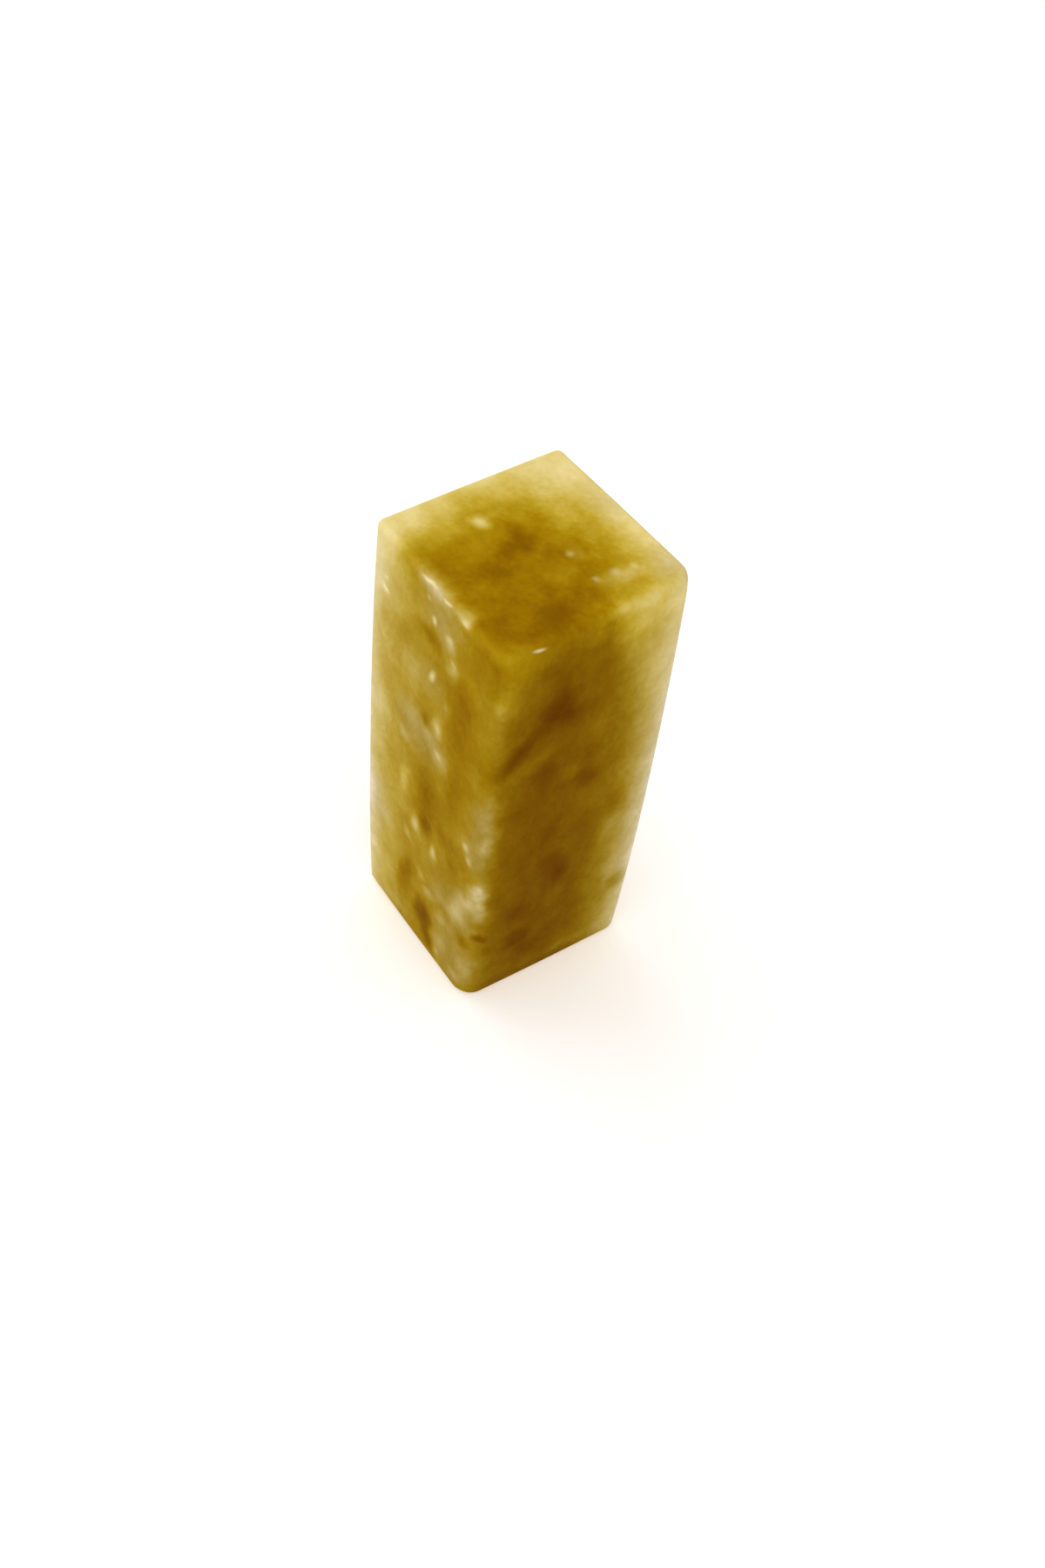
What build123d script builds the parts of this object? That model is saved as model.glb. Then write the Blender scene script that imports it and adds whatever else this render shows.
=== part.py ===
from build123d import *

import os
from math import copysign, cos, pi, radians, tan

# Driving dimensions of the stone, in millimetres and degrees
SIDE = 20.0  # width and depth of the square shaft
HEIGHT = 50.0  # from the print face to the polished top
EDGE_RADIUS = 1.7  # the four long edges, rubbed round
TOP_RADIUS = 0.7  # between the top face and the sides
FOOT_RADIUS = 0.8  # round the print face, kept small so that the print stays large

# Driving dimensions of the carved print face
CUT_DEPTH = 0.9  # cleared ground below the printing surface
FLANK_LEAN = 8.0  # each flank leans by this angle, so that a line has the broader foot
BORDER_WIDTH = 0.75  # raised frame round the face
BORDER_CORNER_RADIUS = 0.5  # inner corners of the frame
LINE_WIDTH = 0.65  # raised lines of the ornament, on the printing surface
LINE_GAP = 0.7  # cleared ground between neighbouring lines
CELLS_PER_SIDE = 4  # square spirals along each side of the key band

# Driving dimensions of the plum blossom inside the key band
PETALS = 5
PETAL_RADIUS = 1.55
PISTIL_RADIUS = 0.6
STAMEN_WIDTH = 0.4
STAMEN_LENGTH = 1.0

# Seal paste that the wiped face keeps in the cleared ground
PASTE_THICKNESS = 0.12

# Cuts run past the surface that they open by this much
OVERRUN = 0.5

# Sizes worked out from the values above
print_half = SIDE / 2 - FOOT_RADIUS
frame_half = print_half - BORDER_WIDTH
band_half = frame_half - LINE_GAP
cell_pitch = (2 * band_half + LINE_GAP) / CELLS_PER_SIDE
cell_side = cell_pitch - LINE_GAP
spiral_step = (cell_side - LINE_WIDTH) / 2
band_inner_half = band_half - cell_side
blossom_radius = band_inner_half - LINE_GAP
petal_centre = blossom_radius - PETAL_RADIUS
flank_slope = tan(radians(FLANK_LEAN))
flank_run = CUT_DEPTH * flank_slope
petal_turn = 360 / PETALS

# The carving is drawn face up, from the cleared ground to the printing surface,
# and this plane lays it under the stone with the printing surface at the origin.
GROUND = Plane(origin=(0, 0, CUT_DEPTH), x_dir=(1, 0, 0), z_dir=(0, 0, -1))
STANDING = (Align.CENTER, Align.CENTER, Align.MIN)


def rounded_stone():
    """The plain stone before it is carved: a square shaft with every edge rubbed round."""
    section = RectangleRounded(SIDE, SIDE, EDGE_RADIUS)
    shaft = extrude(section, amount=HEIGHT)
    shaft = fillet(shaft.edges().group_by(Axis.Z)[-1], TOP_RADIUS)
    return fillet(shaft.edges().group_by(Axis.Z)[0], FOOT_RADIUS)


def raised_cone(top_radius):
    """A round raised piece whose flank spreads towards the ground."""
    return Cone(top_radius + flank_run, top_radius, CUT_DEPTH, align=STANDING)


def sunk_cone(mouth_radius):
    """A round hollow that narrows towards the ground and opens at the printing surface."""
    floor_radius = mouth_radius - flank_run
    upper_radius = mouth_radius + OVERRUN * flank_slope
    return Cone(floor_radius, upper_radius, CUT_DEPTH + OVERRUN, align=STANDING)


def stroke(corners, width, height):
    """A flat line of this width round a path, with square ends half a width past its ends."""
    points = [Vector(*corner) for corner in corners]
    first = points[0] + (points[0] - points[1]).normalized() * width / 2
    last = points[-1] + (points[-1] - points[-2]).normalized() * width / 2
    path = Polyline(first, *points[1:-1], last)
    return Pos(0, 0, height) * trace(path, width).face()


def raised_line(corners, width):
    """A raised line of this width at the print, whose four flanks spread towards the ground."""
    foot = stroke(corners, width + 2 * flank_run, 0)
    top = stroke(corners, width, CUT_DEPTH)
    return loft([foot, top], ruled=True)


def square_spiral(centre_x, centre_y):
    """One key of the band: a line that turns inwards, mirrored to suit its quarter of the face."""
    step_x = copysign(spiral_step, centre_x)
    step_y = copysign(spiral_step, centre_y)
    turns = [(-1, 1), (1, 1), (1, -1), (-1, -1), (-1, 0), (0, 0)]
    corners = [(centre_x + x * step_x, centre_y + y * step_y) for x, y in turns]
    return raised_line(corners, LINE_WIDTH)


def key_band():
    """The square spirals that stand in a ring inside the frame."""
    last = CELLS_PER_SIDE - 1
    spirals = []
    for column in range(CELLS_PER_SIDE):
        for row in range(CELLS_PER_SIDE):
            if column in (0, last) or row in (0, last):
                centre_x = (column - last / 2) * cell_pitch
                centre_y = (row - last / 2) * cell_pitch
                spirals.append(square_spiral(centre_x, centre_y))
    return spirals


def petal_places():
    """Where the petals sit, each turned to point away from the heart."""
    return [Rot(0, 0, number * petal_turn) * Pos(0, petal_centre, 0) for number in range(PETALS)]


def blossom_outline():
    """The raised line of the blossom: round petals on a disc, hollowed to the line's width."""
    petals = [place * raised_cone(PETAL_RADIUS) for place in petal_places()]
    flower = raised_cone(petal_centre) + petals
    hollows = [place * sunk_cone(PETAL_RADIUS - LINE_WIDTH) for place in petal_places()]
    heart = sunk_cone(petal_centre * cos(pi / PETALS))
    return flower - heart - hollows


def blossom_heart():
    """The raised pistil and one stamen towards each petal."""
    reach = (STAMEN_LENGTH - STAMEN_WIDTH) / 2
    stamen = raised_line([(0, -reach), (0, reach)], STAMEN_WIDTH)
    return [raised_cone(PISTIL_RADIUS)] + [place * stamen for place in petal_places()]


def cleared_ground():
    """Everything that the knife takes out of the face, down to the ground."""
    floor_side = 2 * (frame_half - flank_run)
    upper_side = 2 * (frame_half + OVERRUN * flank_slope)
    floor = RectangleRounded(floor_side, floor_side, BORDER_CORNER_RADIUS)
    upper = RectangleRounded(upper_side, upper_side, BORDER_CORNER_RADIUS)
    pit = loft([floor.face(), (Pos(0, 0, CUT_DEPTH + OVERRUN) * upper).face()], ruled=True)
    return pit - key_band() - [blossom_outline()] - blossom_heart()


def carve(stone, ground):
    """The stone with the ground cleared between the raised lines."""
    return stone - GROUND * ground


def paste_film(ground):
    """The thin paste on the cleared ground: the lowest slice of what was taken out."""
    slab = extrude(Rectangle(SIDE, SIDE), amount=PASTE_THICKNESS)
    return GROUND * (ground & slab)


os.makedirs("parts", exist_ok=True)

ground = cleared_ground()
seal_stone = carve(rounded_stone(), ground)
paste_residue = paste_film(ground)

print("least ground between raised lines at their feet", round(LINE_GAP - 2 * flank_run, 3))
print("cell side, spiral step, blossom radius", cell_side, spiral_step, blossom_radius)

for name, piece in (("seal_stone", seal_stone), ("paste_residue", paste_residue)):
    piece.label = name
    export_step(piece, f"parts/{name}.step")
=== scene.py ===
"""Seal stamp: a square soapstone seal with its carved print face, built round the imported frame.

The stone stands on its print face at the origin with +Z up. -Y is the left face and +X the right face
of the usual view. Blender's lengths are metres. Patterns are laid out in millimetres.
"""

from math import cos, pi, radians, tan
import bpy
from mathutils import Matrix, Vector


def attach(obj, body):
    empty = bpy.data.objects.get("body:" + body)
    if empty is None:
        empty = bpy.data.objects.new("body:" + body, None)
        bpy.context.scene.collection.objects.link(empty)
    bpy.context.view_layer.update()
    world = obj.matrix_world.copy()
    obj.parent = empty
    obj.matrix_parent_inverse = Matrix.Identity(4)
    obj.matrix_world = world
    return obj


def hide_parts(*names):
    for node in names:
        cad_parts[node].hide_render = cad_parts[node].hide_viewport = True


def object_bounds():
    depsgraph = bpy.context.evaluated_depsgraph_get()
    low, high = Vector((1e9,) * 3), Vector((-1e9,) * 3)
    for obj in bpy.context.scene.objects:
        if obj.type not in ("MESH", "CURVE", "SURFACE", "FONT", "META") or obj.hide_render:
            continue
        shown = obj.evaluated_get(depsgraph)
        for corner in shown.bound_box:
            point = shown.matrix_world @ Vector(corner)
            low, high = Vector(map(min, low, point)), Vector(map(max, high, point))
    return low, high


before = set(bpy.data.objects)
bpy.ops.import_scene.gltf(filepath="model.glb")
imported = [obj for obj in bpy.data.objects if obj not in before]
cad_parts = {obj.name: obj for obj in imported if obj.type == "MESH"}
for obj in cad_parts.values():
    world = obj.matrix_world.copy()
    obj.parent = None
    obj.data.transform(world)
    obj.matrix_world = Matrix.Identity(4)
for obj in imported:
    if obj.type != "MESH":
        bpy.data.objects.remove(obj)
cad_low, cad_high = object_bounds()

from types import SimpleNamespace

import bpy
import numpy as np
from bpy.props import FloatProperty, FloatVectorProperty, PointerProperty
from mathutils import Matrix, Vector

bl_info = {
    "name": "Seal Stamp",
    "version": (1, 0, 0),
    "blender": (4, 5, 0),
    "location": "3D View > Sidebar > Seal Stamp",
    "description": "Builds a square soapstone seal stamp with a relief print face and its studio",
    "category": "Object",
}

MM = 0.001

# Steps of the stone's surface
CORE_CELLS = 128  # across the flat of a face, between the rounded long edges
CORNER_CELLS = 10  # on through each rounded corner
FOOT_STEPS = 6  # round the foot edge
SIDE_STEPS = 44  # up the sides
TOP_STEPS = 8  # round the top edge
SHARP_ANGLE = radians(34)  # edges that turn by more stay crisp

# The table
TABLE_HALF = 600 * MM  # from its middle to its rim
TABLE_CLEARANCE = 0.02 * MM  # below the print face
OPENING_INSET_SHARE = 0.75  # how far inside the stone its opening lies, as a share of the foot radius

# The lamps, in the same angles as the camera's, and the camera's sensor
WINDOW_AZIMUTH = radians(-75)
WINDOW_ELEVATION = radians(32)
WINDOW_SPREAD = radians(70)
FILL_ELEVATION = radians(35)
FILL_SPREAD = radians(90)
SENSOR_SIZE = 36.0  # in millimetres, along the longer side of the picture

# The carved ornament
CELLS_PER_SIDE = 4  # square spirals along each side of the key band
SPIRAL_TURNS = ((-1, 1), (1, 1), (1, -1), (-1, -1), (-1, 0), (0, 0))
PETALS = 5
SPIRAL_CORNER = 0.06 * MM  # corners of the spirals' strokes
STAMEN_CORNER = 0.1 * MM
PROBE_STEP = 0.02 * MM  # to each side of a point, where the ornament's slope is measured
WOBBLE_SIZE = 1.3 * MM  # one sway of the knife off the drawn line
STROKE_SIZE = 0.9 * MM  # the knife's long marks on the cleared ground
NICK_SIZE = 0.3 * MM  # its short marks
GROUND_UNEVENNESS = 0.06  # how far its marks change the depth, as a share of the depth

# The paste
CLOT_SIZE = 0.7 * MM
CRUMB_SIZE = 0.3 * MM
FILM_ROOT = 0.03 * MM  # how far the back of the film lies inside the stone
RAISED_STAIN = 0.12  # stain on the raised lines, as a share of the stain on the ground

# Wear of the sides
SIDE_WAVE = 11 * MM  # one wave of a rubbed side

# Tones of the stone, and the clouds that are drawn at random
CROWN_SHARE = 0.85  # how far the top's tone takes over at the very top of the sides
FACE_STEEPNESS = 4.0  # how quickly one face's tone gives way to the next at an edge
HIDDEN_CLOUDS = 14  # on each face that the usual view doesn't show
HIDDEN_SEED = 5

# What the random clouds are drawn from: across and up, half width and half height in millimetres, lean in
# degrees, how much paler, how much milkier
CLOUD_RANGES = ((0, 20), (0, 50), (1.4, 3.6), (2.0, 6.0), (-35, 35), (-0.22, 0.24), (-0.3, 0.4))

# Layers of mottling through the stone: clouds to a millimetre, detail and strength
MOTTLING = ((0.13, 2.0, 0.20), (0.55, 3.0, 0.20), (1.9, 2.0, 0.12))

# How much the surfaces mirror. The stone's is kept next to nothing, so that the white surroundings add
# no blue to its darkest places.
STONE_SPECULAR = 0.002
PASTE_SPECULAR = 0.3


def srgb(red, green, blue):
    """A colour in display values from 0 to 255, turned into the linear values that a shader takes."""
    shares = [value / 255 for value in (red, green, blue)]
    return tuple(share / 12.92 if share <= 0.04045 else ((share + 0.055) / 1.055) ** 2.4 for share in shares)


def length(name, description, default):
    """A length that the user may change, in metres."""
    return FloatProperty(name=name, description=description, default=default, min=0.0, precision=5,
                         subtype="DISTANCE", unit="LENGTH")


def angle(name, description, default):
    """An angle that the user may change, kept in radians and shown in degrees."""
    return FloatProperty(name=name, description=description, default=default, subtype="ANGLE",
                         unit="ROTATION")


def share(name, description, default, highest=1.0):
    """A plain number from 0 up."""
    return FloatProperty(name=name, description=description, default=default, min=0.0, max=highest,
                         subtype="FACTOR")


def colour(name, description, default):
    """A colour that the user may change."""
    return FloatVectorProperty(name=name, description=description, default=default, size=3, min=0.0, max=1.0,
                               subtype="COLOR")


class SealStoneSettings(bpy.types.PropertyGroup):
    """Size and colours of the stone."""

    side: length("Side", "Width and depth of the square shaft", cad_high.x - cad_low.x)
    height: length("Height", "From the print face to the polished top", cad_high.z - cad_low.z)
    front_radius: length("Front Edge Radius", "Long edge between the left and right faces", 2.1 * MM)
    right_radius: length("Right Edge Radius", "Long edge between the right and back faces", 1.9 * MM)
    back_radius: length("Back Edge Radius", "Long edge between the back and far faces", 0.8 * MM)
    left_radius: length("Left Edge Radius", "Long edge between the far and left faces", 0.75 * MM)
    top_radius: length("Top Radius", "Round between the top and the sides", 0.65 * MM)
    foot_radius: length("Foot Radius", "Round between the print face and the sides", 0.8 * MM)
    drawn_in: share("Drawn In", "How much of the rubbing at the eight corners is shown", 1.0)
    unevenness: length("Unevenness", "How far the rubbed sides wander from flat", 0.05 * MM)
    deep: colour("Deep", "Darkest, clearest stone", srgb(104, 58, 2))
    honey: colour("Honey", "Middle of the clear stone", srgb(172, 137, 12))
    pale: colour("Pale", "Thin edges where light comes through", srgb(238, 220, 156))
    milk: colour("Milk", "Middle of the cloudy stone", srgb(176, 149, 71))
    # This colour also paints the highlights along the top edge.
    fleck_and_highlight: colour("Fleck", "Small white inclusions", srgb(250, 234, 172))
    fresh_cut: colour("Fresh Cut", "Powdery stone that the knife has cut", srgb(205, 188, 142))


class SealCarvingSettings(bpy.types.PropertyGroup):
    """Size of the relief on the print face."""

    depth: length("Depth", "Cleared ground below the printing surface", 0.9 * MM)
    flank_lean: angle("Flank Lean", "Lean of the raised lines' flanks", radians(8.0))
    border_width: length("Border Width", "Raised frame round the face", 0.75 * MM)
    border_corner: length("Border Corner", "Inner corners of the frame", 0.5 * MM)
    line_width: length("Line Width", "Raised lines of the ornament", 0.65 * MM)
    line_gap: length("Line Gap", "Cleared ground between neighbouring lines", 0.7 * MM)
    petal_radius: length("Petal Radius", "Outside of each petal's line", 1.55 * MM)
    pistil_radius: length("Pistil Radius", "Dot in the blossom's heart", 0.6 * MM)
    stamen_width: length("Stamen Width", "Short line in each petal", 0.4 * MM)
    stamen_length: length("Stamen Length", "Short line in each petal", 1.0 * MM)
    hand_wobble: length("Hand Wobble", "How far the knife strays from the drawn line", 0.035 * MM)


class SealPasteSettings(bpy.types.PropertyGroup):
    """The paste that the wiped face keeps."""

    thickness: length("Thickness", "Paste on the cleared ground", 0.12 * MM)
    fresh: colour("Fresh", "Thick paste in the corners of the cuts", srgb(168, 26, 22))
    dry: colour("Dry", "Thin paste that has dried", srgb(196, 74, 56))


class SealStudioSettings(bpy.types.PropertyGroup):
    """Camera, floor and light."""

    lens: FloatProperty(name="Lens", description="Focal length on a sensor 36 mm high", default=35.8,
                        min=10.0, subtype="DISTANCE_CAMERA")
    distance: length("Distance", "From the camera to the point that it looks at", 154.27 * MM)
    target: FloatVectorProperty(name="Target", description="Point that the camera looks at", size=3,
                                default=(0.0, 1.88 * MM, 18.23 * MM), subtype="XYZ", unit="LENGTH")
    azimuth: angle("Azimuth", "Turn round the stone, with 0 looking along +Y", radians(49.66))
    elevation: angle("Elevation", "Height of the camera above the horizon", radians(49.65))
    roll: angle("Roll", "Tilt of the camera about its own line of sight", radians(7.24))
    daylight: share("Daylight", "Light from all round", 0.74, highest=2.0)
    window: share("Window", "Soft light from behind on the left", 0.30, highest=2.0)
    fill: share("Fill", "Soft light from the camera's side", 0.21, highest=2.0)


# Shapes


def ease(value):
    """Smooth step: three times the square less twice the cube."""
    return value * value * (3 - 2 * value)


def drift(across, along, size, seed):
    """A smooth random field from -1 to 1: random numbers on a square lattice of this size, eased between."""
    count = 64
    lattice = np.random.default_rng(seed).uniform(-1, 1, (count, count))
    place = np.stack([across, along]) / size
    low = np.floor(place).astype(int)
    share_across, share_along = ease(place - low)
    (left, near), (right, far) = low % count, (low + 1) % count
    near_row = lattice[left, near] * (1 - share_across) + lattice[right, near] * share_across
    far_row = lattice[left, far] * (1 - share_across) + lattice[right, far] * share_across
    return near_row * (1 - share_along) + far_row * share_along


def box_distance(points, centre, half, corner=0.0):
    """Distance to an upright rectangle, negative inside: Pythagoras outside, the nearer side inside."""
    beyond = np.abs(points - centre) - half + corner
    outside = np.hypot(*np.maximum(beyond, 0).T)
    return outside + np.minimum(beyond.max(1), 0) - corner


def disc_distance(points, centre, radius):
    """Distance to a disc, negative inside."""
    return np.hypot(*(points - centre).T) - radius


def carving_plan(stone, carving):
    """Places in the ornament, worked out from its sizes from the border inwards."""
    plan = SimpleNamespace()
    plan.print_half = stone.side / 2 - stone.foot_radius
    plan.window_half = plan.print_half - carving.border_width
    band_half = plan.window_half - carving.line_gap
    plan.cell_pitch = (2 * band_half + carving.line_gap) / CELLS_PER_SIDE
    cell_side = plan.cell_pitch - carving.line_gap
    plan.spiral_step = (cell_side - carving.line_width) / 2
    blossom_radius = band_half - cell_side - carving.line_gap
    plan.petal_place = blossom_radius - carving.petal_radius
    plan.heart_radius = plan.petal_place * cos(pi / PETALS)
    plan.flank_run = carving.depth * tan(carving.flank_lean)
    return plan


def key_strokes(plan, carving):
    """Centres and half sides of the straight strokes of the spirals that ring the face, each spiral
    mirrored to suit its quarter."""
    last = CELLS_PER_SIDE - 1
    cells = np.mgrid[0:CELLS_PER_SIDE, 0:CELLS_PER_SIDE].reshape(2, -1).T
    outer = cells[(cells % last == 0).any(1)]
    centres = (outer - last / 2) * plan.cell_pitch
    corners = centres[:, None] + np.array(SPIRAL_TURNS) * np.sign(centres)[:, None] * plan.spiral_step
    starts, ends = corners[:, :-1].reshape(-1, 2), corners[:, 1:].reshape(-1, 2)
    return zip((starts + ends) / 2, np.abs(ends - starts) / 2 + carving.line_width / 2)


def ornament_distance(points, plan, carving):
    """Distance in the plane of the print to the raised ornament, negative on it. The points wander a
    little first, so that the lines look cut by hand."""
    across, along = points.T
    wander = np.stack([drift(across, along, WOBBLE_SIZE, 11), drift(across, along, WOBBLE_SIZE, 12)], 1)
    points = (points + wander * carving.hand_wobble) * (1, -1)
    distance = -box_distance(points, 0.0, plan.window_half, carving.border_corner)
    for centre, half in key_strokes(plan, carving):
        distance = np.minimum(distance, box_distance(points, centre, half, SPIRAL_CORNER))
    turns = 2 * pi * np.arange(PETALS) / PETALS
    petal = disc_distance(points, 0.0, plan.petal_place)
    hollow = disc_distance(points, 0.0, plan.heart_radius)
    heart = disc_distance(points, 0.0, carving.pistil_radius)
    stamen = np.array((carving.stamen_width, carving.stamen_length)) / 2
    for turn in turns:
        centre = np.array((-np.sin(turn), np.cos(turn))) * plan.petal_place
        petal = np.minimum(petal, disc_distance(points, centre, carving.petal_radius))
        hollow = np.minimum(hollow, disc_distance(points, centre, carving.petal_radius - carving.line_width))
        upright = np.array(((np.cos(turn), -np.sin(turn)), (np.sin(turn), np.cos(turn))))
        heart = np.minimum(heart, box_distance((points - centre) @ upright, 0.0, stamen, STAMEN_CORNER))
    blossom = np.maximum(petal, -hollow)
    return np.minimum(distance, np.minimum(blossom, heart))


def carved_face(points, cell, plan, carving):
    """Cuts the ornament into a flat grid. Points within half a step of the contour are drawn onto it, and
    the next row outwards onto the flank's foot, so that every line has one clean flank.
    Gives the moved points, their heights and which of them lie on the ground, its edge included."""
    distance = ornament_distance(points, plan, carving)
    slope = np.stack([ornament_distance(points + offset, plan, carving)
                      - ornament_distance(points - offset, plan, carving)
                      for offset in ((PROBE_STEP, 0), (0, PROBE_STEP))], 1)
    slope /= np.maximum(np.hypot(*slope.T), PROBE_STEP / 10)[:, None]
    reach = cell * np.abs(slope).max(1)
    on_rim = np.abs(distance) < reach / 2
    on_foot = ~on_rim & (distance > 0) & (distance < 1.5 * reach)
    target = np.where(on_foot, np.minimum(plan.flank_run, reach), distance)
    target[on_rim] = 0
    moved = points + slope * (target - distance)[:, None]
    ground = ~on_rim & (distance > 0)
    across, along = points.T
    strokes = drift(across * 0.5 + along, along * 2.2, STROKE_SIZE, 21)
    knife = 0.6 * strokes + 0.4 * drift(across, along, NICK_SIZE, 22)
    floor = carving.depth * (1 + GROUND_UNEVENNESS * knife)
    return moved, np.where(ground, floor, 0.0), ground


def rounded_grid(stone):
    """A square grid bent to a rounded square whose four corners differ. A core square is shrunk at each
    place by the radius there, which is blended from corner to corner. Past the core a point goes outwards:
    in a corner it keeps its direction, and its share of the way is the larger of its two steps.
    Gives the core points, the outward directions, the shares and the radii."""
    core = np.linspace(-1, 1, CORE_CELLS + 1)
    beyond = np.arange(1, CORNER_CELLS + 1) / CORNER_CELLS
    line = np.concatenate([-1 - beyond[::-1], core, 1 + beyond])
    grid = np.stack(np.meshgrid(line, line, indexing="ij"), -1).reshape(-1, 2)
    core = np.clip(grid, -1, 1)
    beyond = grid - core
    corners = (stone.left_radius, stone.back_radius, stone.front_radius, stone.right_radius)
    radius = between_corners(core, np.array(corners)[:, None])[:, 0]
    outward = beyond / np.maximum(np.hypot(*beyond.T), 1e-9)[:, None]
    return core * (stone.side / 2 - radius)[:, None], outward, np.abs(beyond).max(1), radius


def between_corners(place, values):
    """Values given at the corners (-,-), (-,+), (+,-) and (+,+) of a square from -1 to 1, blended across and
    then along."""
    across, along = (place.T + 1) / 2
    shares = np.stack([(1 - across) * (1 - along), (1 - across) * along,
                       across * (1 - along), across * along], 1)
    return shares @ values


def face_edge(count):
    """Indices of the grid's outer points, anticlockwise from above, for count points along each side."""
    index = np.arange(count * count).reshape(count, count)
    return np.concatenate([index[:-1, 0], index[-1, :-1], index[:0:-1, -1], index[0, :0:-1]])


def face_triangles(count, heights):
    """Two triangles for each cell of a grid, anticlockwise from above. The cell is cut along the diagonal
    whose ends are nearer in height, which keeps the ornament's contours whole."""
    index = np.arange(count * count).reshape(count, count)
    near, right = index[:-1, :-1].ravel(), index[1:, :-1].ravel()
    far, left = index[1:, 1:].ravel(), index[:-1, 1:].ravel()
    level = np.abs(heights[near] - heights[far]) <= np.abs(heights[right] - heights[left])
    first = np.where(level, (near, right, far), (near, right, left))
    second = np.where(level, (near, far, left), (right, far, left))
    return np.concatenate([first.T, second.T])


def side_profile(stone):
    """Heights and insets of the rings between the two faces: a quarter turn at the foot, the straight
    side, and a quarter turn at the top."""
    foot = np.linspace(0, pi / 2, FOOT_STEPS + 1)
    top = np.linspace(0, pi / 2, TOP_STEPS + 1)
    side = np.linspace(stone.foot_radius, stone.height - stone.top_radius, SIDE_STEPS + 1)[1:-1]
    heights = [stone.foot_radius * (1 - np.cos(foot)), side,
               stone.height - stone.top_radius * (1 - np.sin(top))]
    insets = [stone.foot_radius * (1 - np.sin(foot)), side * 0, stone.top_radius * (1 - np.cos(top))]
    return np.concatenate(heights), np.concatenate(insets)


# How far each long edge strays from true at the foot and at the top, in millimetres across and along, for
# the left, back, front and right edges. A fit to the photographed outline gave the first values, and five
# of the eight pairs were then changed.
FOOT_STRAYS = ((0.23, 0.27), (0.15, -0.15), (-1.15, 0.13), (-0.37, -0.43))
TOP_STRAYS = ((0.42, 0.36), (0.04, -0.30), (-0.19, 0.24), (-0.33, -0.21))

# Places where handling has rubbed or chipped the stone, in millimetres: centre, reach and depth
WORN_PLACES = (
    ((8.8, -9.8, 0.0), 1.6, 0.12),
    ((-9.8, -9.8, 0.0), 1.4, 0.15),
    ((9.8, 9.6, 0.0), 1.6, 0.25),
    ((9.7, 9.8, 50.0), 2.4, 0.35),
    ((10.0, -10.0, 50.0), 2.2, 0.30),
    ((-1.0, -9.9, 49.9), 0.9, 0.16),
    ((0.4, -9.9, 49.8), 0.7, 0.12),
    ((4.4, -9.8, 49.9), 0.9, 0.20),
    ((9.9, -4.1, 49.9), 0.6, 0.14),
    ((9.0, 2.6, 0.0), 0.8, 0.22),
    ((-3.4, 9.0, 0.0), 0.7, 0.20),
    ((-9.2, 8.4, 0.0), 0.9, 0.25),
)


def handle(points, stone):
    """The marks of making and use. Each long edge strays from true by the square of its distance from mid
    height, the sides wander slightly, and worn places sink by the square of the nearness."""
    middle = Vector((0, 0, stone.height / 2))
    half = stone.side / 2
    level = (points[:, 2] - middle.z) / middle.z
    place = points[:, :2] / half
    top, foot = (between_corners(place, np.array(strays) * MM) for strays in (TOP_STRAYS, FOOT_STRAYS))
    stray = np.where(level[:, None] > 0, top, foot) * (level**2)[:, None] * stone.drawn_in
    across, along, up = points.T
    wander = np.stack([drift(along, up, SIDE_WAVE, 31), drift(across, up, SIDE_WAVE, 32)], 1)
    worn = points.copy()
    worn[:, :2] += stray + wander * stone.unevenness * np.abs(place)
    for centre, reach, depth in WORN_PLACES:
        centre, reach, depth = np.array(centre) * MM, reach * MM, depth * MM
        nearness = np.clip(1 - np.linalg.norm(points - centre, axis=1) / reach, 0, 1)
        inward = np.array(middle) - centre
        worn += (nearness**2 * depth)[:, None] * inward / np.linalg.norm(inward)
    worn[:, 2] = np.clip(worn[:, 2], 0, stone.height)
    return worn


def stone_surface(stone, carving):
    """The whole skin of the stone as one closed surface: two bent grids for the faces, joined by rings that
    carry the perimeter from one to the other. A ring's point is the core's nearest point, plus the
    outward direction times the edge radius less the ring's inset."""
    plan = carving_plan(stone, carving)
    core, outward, spread, radius = rounded_grid(stone)
    count = CORE_CELLS + 2 * CORNER_CELLS + 1
    cell = (stone.side - 2 * radius) / CORE_CELLS
    print_flat = core + outward * (spread * (radius - stone.foot_radius))[:, None]
    top_flat = core + outward * (spread * (radius - stone.top_radius))[:, None]
    print_moved, print_heights, ground = carved_face(print_flat, cell, plan, carving)
    top_heights = np.full(len(top_flat), stone.height)

    edge = face_edge(count)
    heights, insets = side_profile(stone)
    reach = radius[edge] - insets[1:-1, None]
    rings = core[edge] + outward[edge] * reach[:, :, None]
    ring_heights = np.repeat(heights[1:-1], len(edge))

    flat = np.concatenate([print_moved, top_flat, rings.reshape(-1, 2)])
    up = np.concatenate([print_heights, top_heights, ring_heights])
    points = handle(np.column_stack([flat, up]), stone)

    first_ring = 2 * count * count
    between = first_ring + np.arange(len(rings) * len(edge)).reshape(len(rings), -1)
    ring_index = np.concatenate([edge[None], between, edge[None] + count * count])
    low, high = ring_index[:-1], ring_index[1:]
    sides = np.stack([low, np.roll(low, -1, 1), np.roll(high, -1, 1), high], -1).reshape(-1, 4)
    print_side = face_triangles(count, print_heights)[:, ::-1]
    top_side = face_triangles(count, top_heights) + count * count
    stain = np.zeros(len(points))
    stain[:count * count] = np.where(ground, 1.0, RAISED_STAIN)
    worked = np.zeros(len(points))
    worked[:count * count] = 1.0
    return SimpleNamespace(points=points, sides=sides, triangles=np.concatenate([print_side, top_side]),
                           stain=stain, worked=worked, ground=ground, count=count, flat=print_moved)


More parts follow.
